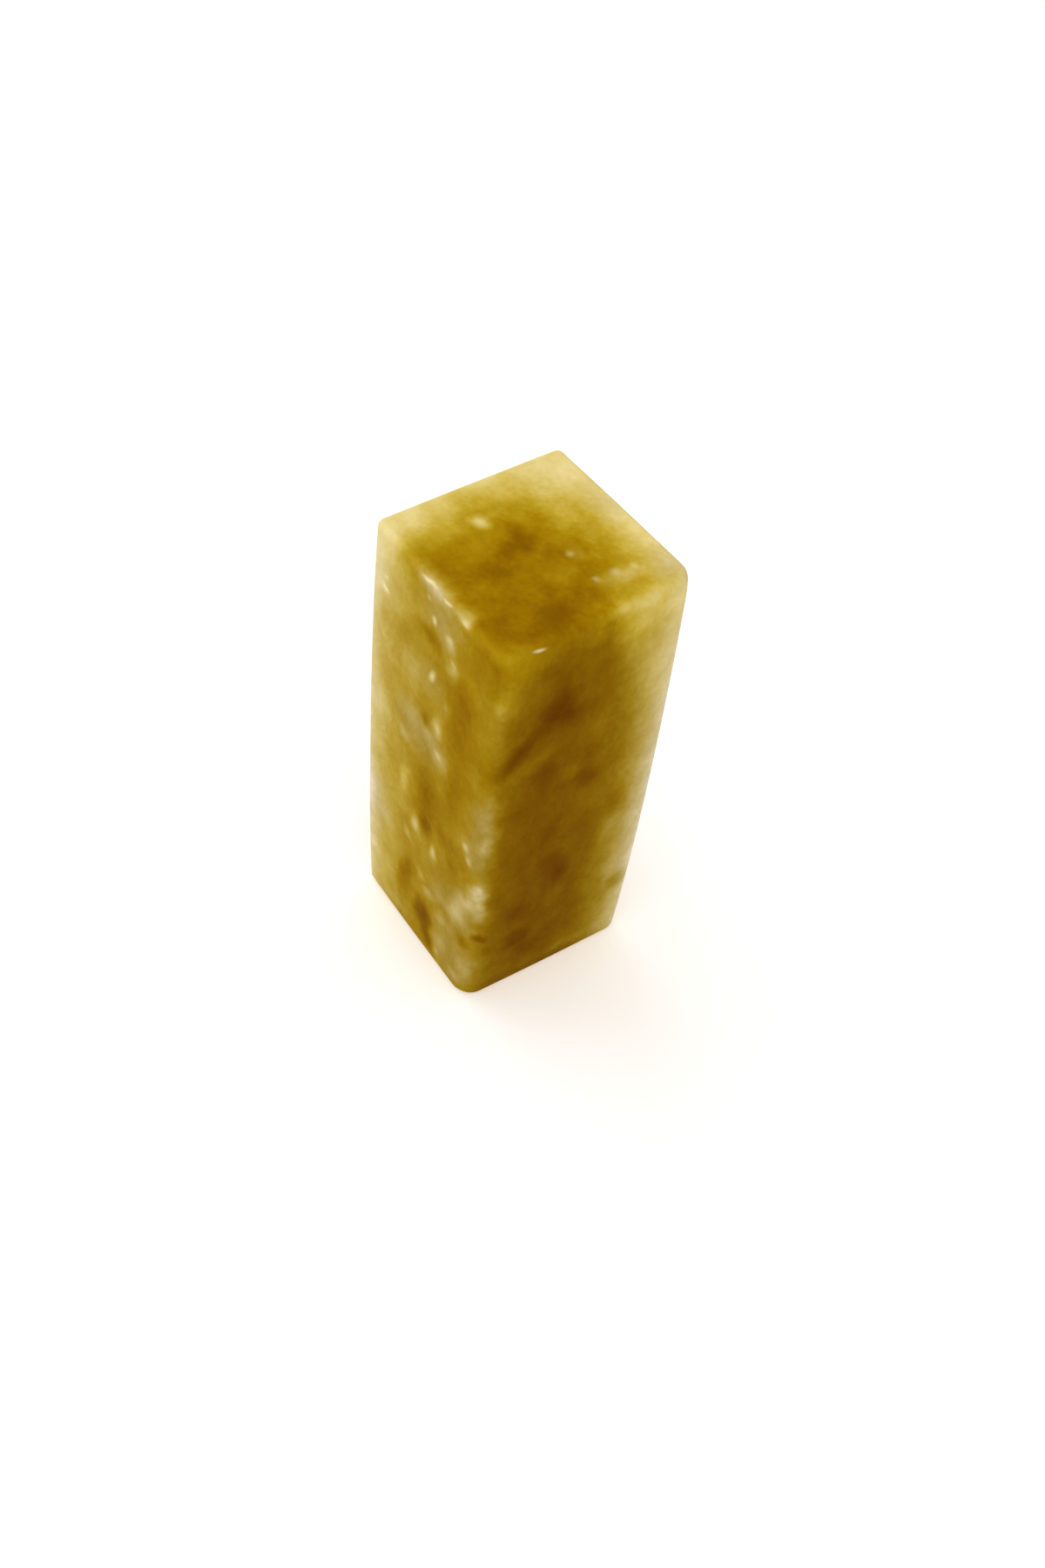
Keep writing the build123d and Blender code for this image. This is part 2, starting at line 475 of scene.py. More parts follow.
def paste_surface(stone, carving, paste):
    """The film on the cleared ground: the ground's own grid cells, once at the film's skin and once just
    inside the stone, with a wall round every edge that only one cell uses."""
    skin = stone_surface(stone, carving)
    count = skin.count
    cells = face_triangles(count, skin.points[:count * count, 2])
    cells = cells[skin.ground[cells].all(1)][:, ::-1]
    across, along = skin.flat.T
    clots = 0.55 + 0.25 * drift(across, along, CLOT_SIZE, 41) + 0.2 * drift(across, along, CRUMB_SIZE, 42)
    film = skin.points[:count * count].copy()
    film[:, 2] -= paste.thickness * clots
    inside = skin.points[:count * count].copy()
    inside[:, 2] += FILM_ROOT

    sides = cells[:, [0, 1, 1, 2, 2, 0]].reshape(-1, 2)
    code = sides[:, 0].astype(np.int64) * len(film) + sides[:, 1]
    mirrored = sides[:, 1].astype(np.int64) * len(film) + sides[:, 0]
    rim = sides[~np.isin(code, mirrored)]
    wall = np.column_stack([rim[:, 1], rim[:, 0], rim[:, 0] + len(film), rim[:, 1] + len(film)])
    triangles = np.concatenate([cells, cells[:, ::-1] + len(film)])
    used = np.unique(triangles)
    renumber = np.zeros(2 * len(film), int)
    renumber[used] = np.arange(len(used))
    points = np.concatenate([film, inside])[used]
    return SimpleNamespace(points=points, sides=renumber[wall], triangles=renumber[triangles])


def make_piece(name, surface, material, attributes=()):
    """Puts a surface into a mesh object at the origin, smooth except along its sharp edges."""
    mesh = bpy.data.meshes.new(name)
    corners = np.concatenate([surface.triangles.ravel(), surface.sides.ravel()])
    sizes = np.concatenate([np.full(len(surface.triangles), 3), np.full(len(surface.sides), 4)])
    mesh.vertices.add(len(surface.points))
    mesh.vertices.foreach_set("co", surface.points.astype(np.float32).ravel())
    mesh.loops.add(len(corners))
    mesh.loops.foreach_set("vertex_index", corners.astype(np.int32))
    mesh.polygons.add(len(sizes))
    mesh.polygons.foreach_set("loop_start", np.concatenate([[0], np.cumsum(sizes)[:-1]]).astype(np.int32))
    mesh.update(calc_edges=True)
    mesh.validate()
    mesh.shade_smooth()
    mesh.set_sharp_from_angle(angle=SHARP_ANGLE)
    for attribute, values in attributes:
        layer = mesh.attributes.new(attribute, "FLOAT", "POINT")
        layer.data.foreach_set("value", values.astype(np.float32))
    mesh.materials.append(material)
    piece = bpy.data.objects.new(name, mesh)
    bpy.context.scene.collection.objects.link(piece)
    return piece


# Materials


class Graph:
    """A node tree with a short call for each kind of node that the materials need."""

    def __init__(self, tree):
        self.tree = tree

    def node(self, kind, values=(), **settings):
        """Adds a node. Values are sockets to link or constants to set, by name or in order."""
        made = self.tree.nodes.new("ShaderNode" + kind)
        for name, value in settings.items():
            setattr(made, name, value)
        pairs = values.items() if isinstance(values, dict) else enumerate(values)
        for key, value in pairs:
            self.feed(made.inputs[key], value)
        return made

    def feed(self, socket, value):
        """Links a socket, or sets its constant."""
        if isinstance(value, bpy.types.NodeSocket):
            self.tree.links.new(value, socket)
        else:
            socket.default_value = value

    def math(self, operation, *values):
        """One step of arithmetic on numbers."""
        return self.node("Math", values, operation=operation).outputs[0]

    def vector(self, operation, *values):
        """One step of arithmetic on vectors."""
        return self.node("VectorMath", values, operation=operation).outputs[0]

    def times(self, vector, factor):
        """A vector made longer or shorter."""
        return self.node("VectorMath", {"Vector": vector, "Scale": factor}, operation="SCALE").outputs[0]

    def noise(self, place, scale, detail=2.0, roughness=0.5):
        """A cloud pattern with this many clouds to a millimetre."""
        return self.node("TexNoise", {"Vector": place, "Scale": scale, "Detail": detail,
                                      "Roughness": roughness})

    def ramp(self, value, stops):
        """A colour for each value, from stops of place and colour."""
        made = self.node("ValToRGB", [value])
        elements = made.color_ramp.elements
        elements.remove(elements[-1])
        for number, (place, shade) in enumerate(stops):
            element = elements[0] if number == 0 else elements.new(place)
            element.position = place
            element.color = (*shade, 1.0)
        return made.outputs["Color"]

    def blend(self, factor, first, second):
        """Mixes two colours."""
        made = self.node("Mix", data_type="RGBA", clamp_factor=True)
        for key, value in (("Factor_Float", factor), ("A_Color", first), ("B_Color", second)):
            socket = next(s for s in made.inputs if s.identifier == key)
            as_it_is = isinstance(value, bpy.types.NodeSocket) or key == "Factor_Float"
            self.feed(socket, value if as_it_is else (*value, 1.0))
        return next(s for s in made.outputs if s.identifier == "Result_Color")

    def place(self):
        """Object coordinates in millimetres."""
        return self.times(self.node("TexCoord").outputs["Object"], 1 / MM)

    def use(self, group, values):
        """Places a shared effect with its own values."""
        made = self.tree.nodes.new("ShaderNodeGroup")
        made.node_tree = group
        for key, value in values.items():
            self.feed(made.inputs[key], value)
        return made.outputs[0]


def new_group(name, inputs, outputs):
    """An empty shared effect with named sockets. Gives its graph, its input node and its output node."""
    tree = bpy.data.node_groups.new(name, "ShaderNodeTree")
    for socket, kind in inputs:
        tree.interface.new_socket(socket, in_out="INPUT", socket_type="NodeSocket" + kind)
    for socket, kind in outputs:
        tree.interface.new_socket(socket, in_out="OUTPUT", socket_type="NodeSocket" + kind)
    return Graph(tree), tree.nodes.new("NodeGroupInput").outputs, tree.nodes.new("NodeGroupOutput").inputs


def soft_mark_group():
    """A soft spot in the body of a material: 1 at its centre, easing to 0 at its edge. The spot is a ball
    that is stretched to three radii, turned and moved into place."""
    graph, given, result = new_group(
        "soft_mark", [("Place", "Vector"), ("Centre", "Vector"), ("Turn", "Vector"), ("Radii", "Vector")],
        [("Mask", "Float")])
    offset = graph.vector("SUBTRACT", given["Place"], given["Centre"])
    turned = graph.node("VectorRotate", {"Vector": offset, "Rotation": given["Turn"]},
                        rotation_type="EULER_XYZ", invert=True).outputs[0]
    scaled = graph.vector("DIVIDE", turned, given["Radii"])
    away = graph.node("VectorMath", [scaled], operation="LENGTH").outputs["Value"]
    mask = graph.node("MapRange", {"Value": away, "From Min": 1.0, "From Max": 0.0},
                      interpolation_type="SMOOTHSTEP")
    graph.feed(result["Mask"], mask.outputs[0])
    return graph.tree


def rim_glow_group():
    """Light that comes through a thin edge: e to the power of minus the distance over its reach, raised
    to how steeply it ends."""
    graph, given, result = new_group(
        "rim_glow", [("Distance", "Float"), ("Reach", "Float"), ("Steepness", "Float")], [("Glow", "Float")])
    away = graph.math("DIVIDE", graph.math("MAXIMUM", given["Distance"], 0.0), given["Reach"])
    power = graph.math("POWER", away, given["Steepness"])
    graph.feed(result["Glow"], graph.math("EXPONENT", graph.math("MULTIPLY", power, -1.0)))
    return graph.tree


def grain_group():
    """Fine grain for colour and for bump: two sizes of noise about zero, with the larger one weaker."""
    graph, given, result = new_group(
        "fine_grain", [("Place", "Vector"), ("Size", "Float")], [("Grain", "Float")])
    small = graph.noise(given["Place"], graph.math("DIVIDE", 1.0, given["Size"]), 2.0).outputs[0]
    large = graph.noise(given["Place"], graph.math("DIVIDE", 0.3, given["Size"]), 2.0).outputs[0]
    mixed = graph.math("MULTIPLY_ADD", large, 0.6, small)
    graph.feed(result["Grain"], graph.math("SUBTRACT", mixed, 0.8))
    return graph.tree


def principled(name):
    """A new material with a graph and its one shader."""
    material = bpy.data.materials.new(name)
    material.use_nodes = True
    material.node_tree.nodes.clear()
    graph = Graph(material.node_tree)
    shader = graph.node("BsdfPrincipled")
    graph.node("OutputMaterial", {"Surface": shader.outputs[0]})
    return material, graph, shader.inputs


# How each face is seen: its lower left corner in units of half a side and of the height, the axes that run
# across and up it, the axis that points out of it, and the sense in which a lean to the right turns
FACES = {
    "left": ((-1, -1, 0), 0, 2, 1, 1),
    "right": ((1, -1, 0), 1, 2, 0, -1),
    "top": ((-1, -1, 1), 0, 1, 2, -1),
    "back": ((-1, 1, 0), 0, 2, 1, 1),
    "far": ((-1, -1, 0), 1, 2, 0, -1),
}
MARK_DEPTH = 1.6  # how far a mark reaches into the stone, in millimetres

# Clouds and stains in the stone: face, across and up from its lower left corner, half width and half height
# in millimetres, lean to the right in degrees, how much paler, how much milkier. They were listed from tones
# measured on the photographed faces. When the camera was fitted again, the rows of that time were moved by
# a computation to suit it, and some places are still where it put them.
CLOUDS = (
    ("left", 2.6, 48.8, 6.0, 3.4, 0, 0.15, -0.1),
    ("left", 9.0, 49.3, 2.6, 1.6, 0, 0.24, 0.8),
    ("left", 4.0, 45.6, 4.6, 5.6, 0, 0.11, 0.1),
    ("left", 1.3, 45.6, 2.2, 5.4, 0, 0.12, 0.1),
    ("left", 12.0, 48.0, 9.0, 6.0, 0, 0.13, 0.1),
    ("left", 11.4, 49.4, 4.6, 1.4, 0, 0.06, 0.2),
    ("left", 18.2, 49.6, 4.6, 1.8, 0, 0.10, 0.0),
    ("left", 11.0, 47.2, 4.6, 4.2, 0, 0.06, 0.8),
    ("left", 10.5, 39.4, 3.2, 3.4, 0, 0.03, 0.4),
    ("left", 9.4, 31.6, 6.0, 4.6, 0, 0.04, 0.8),
    ("left", 19.4, 27.0, 3.0, 7.4, 0, 0.04, 1.0),
    ("left", 18.9, 23.6, 2.4, 3.8, 0, 0.03, 0.5),
    ("left", 16.5, 13.6, 6.4, 6.4, 0, 0.04, 0.9),
    ("left", 15.8, 5.4, 5.6, 7.0, 0, 0.04, 0.9),
    ("left", 1.8, 15.5, 3.6, 7.0, 0, 0.03, 0.5),
    ("left", 19.7, 16.4, 2.4, 5.0, 0, 0.10, 0.8),
    ("left", 9.6, 44.2, 2.4, 1.7, 12, -0.17, -0.2),
    ("left", 8.4, 49.0, 0.9, 0.9, 0, -0.08, 0.2),
    ("left", 13.1, 43.2, 1.5, 2.0, 24, 0.22, 0.4),
    ("left", 12.6, 45.7, 1.4, 1.6, -35, 0.20, 0.4),
    ("left", 16.4, 43.2, 3.0, 3.6, 0, 0.10, 0.0),
    ("left", 15.3, 37.9, 3.4, 15.0, 3, -0.13, -0.3),
    ("left", 19.5, 35.8, 2.4, 4.6, 0, -0.13, -0.2),
    ("left", 7.4, 38.4, 3.4, 3.6, -10, 0.11, 0.3),
    ("left", 12.6, 37.9, 1.2, 1.4, 0, 0.08, 0.2),
    ("left", 9.7, 34.2, 1.2, 1.3, 10, -0.18, -0.1),
    ("left", 11.6, 34.6, 1.0, 2.2, 6, 0.22, 0.4),
    ("left", 12.2, 31.2, 2.0, 2.2, 0, 0.19, 0.4),
    ("left", 10.4, 32.4, 1.6, 1.4, 20, 0.14, 0.3),
    ("left", 7.2, 33.2, 3.0, 2.8, 0, 0.10, 0.2),
    ("left", 6.5, 29.2, 1.8, 1.2, 34, 0.16, 0.4),
    ("left", 2.7, 29.8, 2.4, 3.4, 0, 0.12, 0.1),
    ("left", 18.6, 29.6, 1.9, 2.4, 0, 0.10, 0.3),
    ("left", 12.0, 27.0, 1.7, 2.2, 0, 0.02, 0.0),
    ("left", 14.8, 28.1, 2.4, 5.0, 0, -0.05, -0.2),
    ("left", 10.4, 23.0, 3.8, 6.0, 8, -0.18, -0.3),
    ("left", 14.0, 21.4, 2.2, 2.2, 0, -0.12, -0.2),
    ("left", 10.6, 20.0, 1.6, 1.9, 0, -0.16, -0.2),
    ("left", 15.2, 19.0, 1.7, 1.7, 0, -0.10, -0.2),
    ("left", 6.8, 23.3, 1.1, 3.4, 4, 0.16, -0.1),
    ("left", 17.3, 23.7, 1.3, 2.6, -14, 0.10, 0.4),
    ("left", 19.9, 25.0, 1.8, 3.2, 0, 0.24, 0.4),
    ("left", 8.8, 18.5, 1.1, 1.9, 14, 0.22, 0.5),
    ("left", 7.8, 15.7, 1.5, 1.0, 40, 0.16, 0.4),
    ("left", 12.1, 17.4, 0.9, 2.0, 2, 0.20, 0.4),
    ("left", 18.8, 17.4, 2.1, 6.4, 34, 0.36, 0.7),
    ("left", 19.9, 16.6, 1.6, 3.2, 10, 0.22, 0.2),
    ("left", 1.0, 16.6, 2.2, 5.4, 0, 0.13, 0.2),
    ("left", 3.8, 14.4, 2.2, 2.4, 0, 0.08, 0.2),
    ("left", 16.4, 12.6, 2.3, 3.0, 34, 0.25, 0.4),
    ("left", 13.6, 12.1, 2.2, 1.7, 0, 0.10, 0.8),
    ("left", 10.3, 11.9, 1.2, 1.2, 0, 0.14, 0.3),
    ("left", 11.7, 10.2, 1.8, 1.1, -10, 0.20, 0.9),
    ("left", 14.2, 8.9, 1.4, 1.5, 30, 0.14, 0.3),
    ("left", 19.8, 10.7, 2.0, 1.1, 45, -0.34, -0.6),
    ("left", 17.9, 9.6, 1.4, 1.2, 40, -0.14, -0.2),
    ("left", 7.4, 8.6, 2.0, 5.2, 15, -0.17, -0.6),
    ("left", 10.9, 5.8, 2.4, 3.8, -5, -0.38, -0.9),
    ("left", 11.9, 2.6, 1.8, 2.6, -16, -0.24, -0.8),
    ("left", 14.2, 5.0, 1.3, 2.6, 0, 0.13, 0.0),
    ("left", 13.5, 2.6, 1.1, 1.4, 0, 0.18, 0.5),
    ("left", 16.8, 2.4, 1.9, 1.6, 0, 0.20, 0.8),
    ("left", 19.0, 4.6, 2.6, 3.4, 0, 0.17, 0.8),
    ("left", 6.0, 2.2, 3.6, 1.3, 0, 0.09, 0.3),
    ("left", 1.1, 6.5, 3.0, 7.0, 0, 0.06, 0.1),
    ("right", 14.0, 49.4, 7.0, 5.6, 0, 0.24, -0.3),
    ("right", 2.9, 49.2, 7.0, 4.6, 0, 0.14, -0.4),
    ("right", 0.8, 45.0, 4.4, 5.4, 0, 0.15, -0.4),
    ("right", 4.6, 44.0, 2.4, 2.6, 0, 0.07, 0.0),
    ("right", 13.8, 45.6, 3.4, 4.4, 0, 0.12, -0.2),
    ("right", 15.6, 41.4, 4.0, 8.0, 0, 0.16, -0.2),
    ("right", 6.3, 41.0, 3.2, 3.6, 38, -0.20, 0.0),
    ("right", 8.4, 39.6, 2.2, 2.2, 0, -0.10, 0.0),
    ("right", 2.3, 37.5, 1.6, 4.4, 42, -0.22, 0.0),
    ("right", 0.0, 42.2, 1.6, 3.0, 4, 0.16, 0.5),
    ("right", 4.9, 36.0, 1.7, 4.4, 66, 0.12, 0.0),
    ("right", 11.4, 36.9, 2.0, 3.2, 0, 0.10, -0.2),
    ("right", 5.6, 33.4, 2.4, 2.4, 0, -0.07, 0.0),
    ("right", 8.6, 32.2, 1.8, 1.8, 0, 0.08, 0.0),
    ("right", 10.7, 30.1, 1.9, 2.4, -20, -0.12, 0.0),
    ("right", -0.1, 29.6, 2.4, 6.4, 0, 0.24, 0.4),
    ("right", 0.0, 25.0, 2.0, 3.4, 0, 0.16, 0.5),
    ("right", 15.0, 25.4, 2.0, 4.0, -6, -0.06, -0.2),
    ("right", 7.4, 24.2, 1.8, 2.6, 0, -0.08, 0.0),
    ("right", 14.6, 21.0, 2.6, 3.4, 0, 0.10, 0.1),
    ("right", -0.1, 18.4, 1.8, 4.4, 0, 0.42, 0.7),
    ("right", 0.4, 14.9, 2.0, 3.0, 0, 0.16, 0.2),
    ("right", 8.7, 18.0, 2.2, 5.6, -24, -0.13, 0.0),
    ("right", 13.6, 14.4, 2.0, 8.0, 0, 0.07, 0.0),
    ("right", 16.0, 13.6, 2.2, 4.0, 0, 0.10, 0.1),
    ("right", 4.6, 13.3, 2.4, 1.9, 40, -0.09, 0.0),
    ("right", 0.6, 11.0, 1.5, 1.7, -30, -0.24, -0.3),
    ("right", 17.6, 9.8, 1.9, 2.4, 0, -0.22, -0.1),
    ("right", 5.6, 7.9, 2.4, 3.2, -24, -0.22, 0.0),
    ("right", 7.0, 5.4, 2.4, 1.9, 0, -0.13, 0.0),
    ("right", 0.6, 6.0, 2.6, 3.2, 0, 0.16, 0.9),
    ("right", 2.9, 3.4, 5.0, 2.2, 0, 0.10, 0.6),
    ("right", 18.4, 20.0, 2.6, 24.0, 0, 0.03, 0.6),
    ("right", 11.0, 2.3, 8.0, 1.6, 0, 0.14, 0.4),
    ("top", 9.0, 9.3, 2.6, 2.2, 30, -0.17, 0.0),
    ("top", 11.0, 5.4, 2.4, 2.4, -40, -0.12, 0.0),
    ("top", 17.6, 6.8, 4.0, 2.8, 60, -0.13, 0.0),
    ("top", 5.2, 7.7, 1.5, 1.4, 0, 0.26, 0.2),
    ("top", 16.4, 14.1, 1.5, 3.2, 0, 0.16, 0.4),
    ("top", 19.3, 12.6, 3.6, 4.4, 0, 0.16, 0.0),
    ("top", 13.7, 9.9, 1.9, 2.6, 0, 0.10, 0.1),
    ("top", 9.4, 7.4, 1.8, 1.6, 0, -0.11, 0.0),
    ("top", 7.4, 9.6, 1.6, 1.5, 0, -0.10, 0.0),
    ("top", 11.3, 11.0, 1.6, 1.4, 0, -0.09, 0.0),
    ("top", 2.6, 3.2, 4.2, 4.6, 0, 0.15, -0.2),
    ("top", 2.8, 0.8, 3.6, 1.6, 0, 0.10, 0.2),
    ("top", 18.4, 0.6, 3.4, 1.8, 0, 0.05, 0.0),
    ("top", 17.6, 18.6, 4.0, 3.0, 0, 0.03, 0.7),
    ("top", 8.0, 18.4, 4.0, 2.4, 0, 0.02, 0.4),
    ("top", 3.4, 16.0, 4.2, 4.6, 0, 0.13, 0.1),
    ("top", 7.8, 14.2, 4.4, 2.4, 0, 0.12, 0.0),
    ("top", 13.4, 15.4, 2.4, 1.6, 0, -0.04, -0.2),
    ("top", 12.3, 12.5, 1.4, 1.2, 0, 0.12, 0.3),
    ("top", 9.3, 0.4, 4.4, 2.0, 0, 0.26, 0.5),
    ("top", 14.0, 0.4, 2.0, 1.8, 0, 0.30, 0.5),
)

# Small pale inclusions, and painted highlights: the bright lines where the worn top edge catches the light,
# painted as pale marks. Columns: face, across, up, half width, half height, lean and how plainly each one
# shows
FLECKS_AND_HIGHLIGHTS = (
    ("left", 2.5, 43.9, 1.05, 0.6, 15, 0.85),
    ("left", 2.6, 45.2, 0.55, 0.35, 10, 0.6),
    ("left", 10.1, 46.3, 0.55, 0.8, 0, 0.6),
    ("left", 9.0, 48.0, 0.5, 0.5, 0, 0.2),
    ("left", 10.3, 40.0, 0.6, 1.15, 25, 0.6),
    ("left", 12.3, 46.0, 0.9, 0.55, -25, 0.3),
    ("left", 13.1, 43.9, 0.8, 0.45, 30, 0.25),
    ("left", 12.0, 31.4, 0.9, 0.7, 20, 0.3),
    ("left", 11.7, 34.6, 0.5, 0.9, 0, 0.2),
    ("left", 17.2, 23.9, 0.8, 0.8, -15, 0.35),
    ("left", 17.8, 22.5, 0.7, 1.0, -10, 0.3),
    ("left", 8.8, 18.4, 0.8, 1.3, 8, 0.2),
    ("left", 12.1, 17.3, 0.6, 1.2, 5, 0.2),
    ("left", 14.2, 49.4, 0.8, 0.5, 0, 0.65),
    # The next two rows are painted highlights: bright lines on the worn top edge of the left face.
    ("left", 8.9, 49.62, 1.6, 0.26, -2, 1.0),
    ("left", 11.6, 49.5, 1.1, 0.24, -4, 0.8),
    ("top", 5.2, 7.6, 0.9, 0.8, 0, 0.25),
    ("top", 15.9, 15.8, 0.7, 0.6, 20, 0.25),
    ("top", 15.7, 14.0, 0.7, 0.8, 0, 0.25),
    ("top", 15.8, 12.2, 0.6, 0.5, 0, 0.22),
    ("top", 12.2, 12.0, 0.6, 0.5, 0, 0.2),
    # A painted highlight: a bright line on the top edge of the right face.
    ("right", 3.6, 49.6, 1.0, 0.24, 12, 0.7),
)

# Tone of each face away from its edges, with the shade of the usual view painted in, and how milky it is
FACE_TONES = {"left": (0.46, 0.25), "right": (0.17, 0.7), "top": (0.36, 0.0), "back": (0.42, 0.4),
              "far": (0.46, 0.4), "print": (0.60, 0.6)}


def random_clouds(faces, count, seed):
    """Clouds for the faces that the usual view doesn't show, drawn from the same range of sizes."""
    draw = np.random.default_rng(seed)
    return [(face, *(draw.uniform(*ends) for ends in CLOUD_RANGES)) for face in faces for _ in range(count)]


def mark_values(mark, stone):
    """Where a soft mark lies, from the first six values of its row: its centre, radii and turn, in
    millimetres and radians."""
    face, across, up, half_width, half_height, lean = mark
    corner, axis_across, axis_up, axis_out, sense = FACES[face]
    half = stone.side / 2 / MM
    centre = [corner[0] * half, corner[1] * half, corner[2] * stone.height / MM]
    centre[axis_across] += across
    centre[axis_up] += up
    radii = [MARK_DEPTH] * 3
    radii[axis_across], radii[axis_up] = half_width, half_height
    turn = [0.0] * 3
    turn[axis_out] = sense * radians(lean)
    return {"Centre": centre, "Radii": radii, "Turn": turn}


def soapstone(stone):
    """Polished soapstone: clear honey stone with milky clouds, flecked with white, and powdery and stained
    with paste where it has been carved. Light is painted into its colour too: a painted glow makes it pale
    where its edges are thin, as light coming through them would; each face's tone carries the painted shade
    of the usual view; and painted highlights run along the top edge."""
    material, graph, shader = principled("soapstone")
    soft_mark, rim_glow, grain = soft_mark_group(), rim_glow_group(), grain_group()
    place = graph.place()
    swirl = graph.vector("SUBTRACT", graph.noise(place, 0.42, 2.0).outputs["Color"], (0.5, 0.5, 0.5))
    flowing = graph.vector("ADD", place, graph.times(swirl, 1.5))
    steady = graph.vector("ADD", place, graph.times(swirl, 0.4))
    half = stone.side / 2 / MM

    parts = graph.node("SeparateXYZ", [flowing]).outputs

    def glow(axis, side, reach, steepness):
        """Glow of the edge on this side of the stone, along this axis."""
        away = graph.math("SUBTRACT", half, graph.math("MULTIPLY", parts[axis], side))
        return graph.use(rim_glow, {"Distance": away, "Reach": reach, "Steepness": steepness})

    def lit(base, *edges):
        """A face's tone, with the usual view's shade painted in, and the painted glow of its edges on top.
        """
        total = base
        for strength, light in edges:
            total = graph.math("MULTIPLY_ADD", light, strength, total)
        return total

    tones = {face: tone for face, (tone, _) in FACE_TONES.items()}
    # Painted light through thin edges: each glow makes a face paler towards the edges it names. The top gets
    # paler towards its back and far edges.
    both = graph.math("MULTIPLY", graph.math("SUBTRACT", 1.0, glow(1, 1, 5.0, 1.5)),
                      graph.math("SUBTRACT", 1.0, glow(0, -1, 4.5, 1.3)))
    left_rim = glow(0, -1, 3.9, 1.0)
    lit_faces = {
        "left": lit(tones["left"], (0.51, left_rim)),
        "right": lit(tones["right"], (0.34, glow(1, -1, 2.0, 1.0)), (0.90, glow(1, 1, 4.6, 1.4))),
        "top": lit(tones["top"], (0.52, graph.math("SUBTRACT", 1.0, both))),
        "back": lit(tones["back"], (0.36, glow(0, -1, 3.2, 1.2)), (0.38, glow(0, 1, 3.2, 1.2))),
        "far": lit(tones["far"], (0.46, glow(1, -1, 2.6, 1.0)), (0.34, glow(1, 1, 3.6, 1.2))),
        "print": tones["print"],
    }
    milks = {face: milk for face, (_, milk) in FACE_TONES.items()}
    # The painted glow also makes the left face milkier towards that edge.
    milks["left"] = graph.math("MULTIPLY_ADD", left_rim, 0.4, milks["left"])

    # Each face's tone has the shade of the usual view painted in. This blend, by which way the surface
    # faces, paints that shade on, darkest on the right face.
    facing = graph.node("SeparateXYZ", [graph.node("TexCoord").outputs["Normal"]]).outputs
    directions = {"left": (1, -1), "right": (0, 1), "top": (2, 1),
                  "back": (1, 1), "far": (0, -1), "print": (2, -1)}
    shares, whole = {}, 0.0
    for face, (axis, side) in directions.items():
        towards = graph.math("MAXIMUM", graph.math("MULTIPLY", facing[axis], side), 0.0)
        shares[face] = graph.math("POWER", towards, FACE_STEEPNESS)
        whole = graph.math("ADD", whole, shares[face])
    under_top = graph.math("SUBTRACT", stone.height / MM, parts[2])
    crown = graph.use(rim_glow, {"Distance": under_top, "Reach": 4.0, "Steepness": 1.6})
    keep = graph.math("DIVIDE", graph.math("MULTIPLY_ADD", crown, -CROWN_SHARE, 1.0), whole)
    tone = graph.math("MULTIPLY", lit_faces["top"], graph.math("MULTIPLY", crown, CROWN_SHARE))
    milk = graph.math("MULTIPLY", milks["top"], graph.math("MULTIPLY", crown, CROWN_SHARE))
    for face, share_of_face in shares.items():
        part = graph.math("MULTIPLY", share_of_face, keep)
        tone = graph.math("MULTIPLY_ADD", lit_faces[face], part, tone)
        milk = graph.math("MULTIPLY_ADD", milks[face], part, milk)

    for *mark, paler, milkier in (*CLOUDS, *random_clouds(("back", "far"), HIDDEN_CLOUDS, HIDDEN_SEED)):
        mask = graph.use(soft_mark, {"Place": flowing, **mark_values(mark, stone)})
        tone = graph.math("MULTIPLY_ADD", mask, paler, tone)
        if milkier:
            milk = graph.math("MULTIPLY_ADD", mask, milkier, milk)
    stretched = graph.vector("MULTIPLY", steady, (1.0, 1.0, 0.75))
    for scale, detail, strength in MOTTLING:
        cloud = graph.math("SUBTRACT", graph.noise(stretched, scale, detail, 0.55).outputs[0], 0.5)
        tone = graph.math("MULTIPLY_ADD", cloud, strength, tone)
    speckle = graph.use(grain, {"Place": place, "Size": 0.14})
    tone = graph.math("MULTIPLY_ADD", speckle, 0.06, tone)

    clear = graph.ramp(tone, [(0.0, stone.deep), (0.3, srgb(135, 94, 2)), (0.42, srgb(156, 117, 4)),
                              (0.52, stone.honey), (0.65, srgb(194, 164, 46)), (0.77, srgb(214, 188, 92)),
                              (0.89, srgb(230, 209, 134)), (1.0, stone.pale)])
    cloudy = graph.ramp(tone, [(0.0, stone.deep), (0.15, srgb(118, 76, 2)), (0.32, srgb(140, 104, 6)),
                               (0.45, srgb(156, 125, 26)), (0.6, stone.milk), (0.74, srgb(194, 171, 104)),
                               (0.86, srgb(210, 190, 134)), (1.0, srgb(236, 220, 184))])
    body = graph.blend(milk, clear, cloudy)
    # Pale inclusions, and painted highlights along the top edge, in the fleck colour.
    shown = 0.0
    for *mark, plainness in FLECKS_AND_HIGHLIGHTS:
        mask = graph.use(soft_mark, {"Place": steady, **mark_values(mark, stone)})
        shown = graph.math("MULTIPLY_ADD", mask, plainness, shown)
    body = graph.blend(graph.math("MINIMUM", shown, 0.9), body, stone.fleck_and_highlight)

    worked = graph.node("Attribute", attribute_name="worked").outputs["Fac"]
    stain = graph.node("Attribute", attribute_name="stain").outputs["Fac"]
    powder = graph.math("MULTIPLY", worked, 0.55)
    body = graph.blend(powder, body, stone.fresh_cut)
    patchy = graph.node("MapRange", {"Value": graph.noise(place, 1.6, 3.0).outputs[0], "From Min": 0.35,
                                     "From Max": 0.65}).outputs[0]
    reddened = graph.math("MULTIPLY", stain, graph.math("MULTIPLY_ADD", patchy, 0.5, 0.4))
    body = graph.blend(reddened, body, srgb(176, 62, 44))
    graph.feed(shader["Base Color"], body)

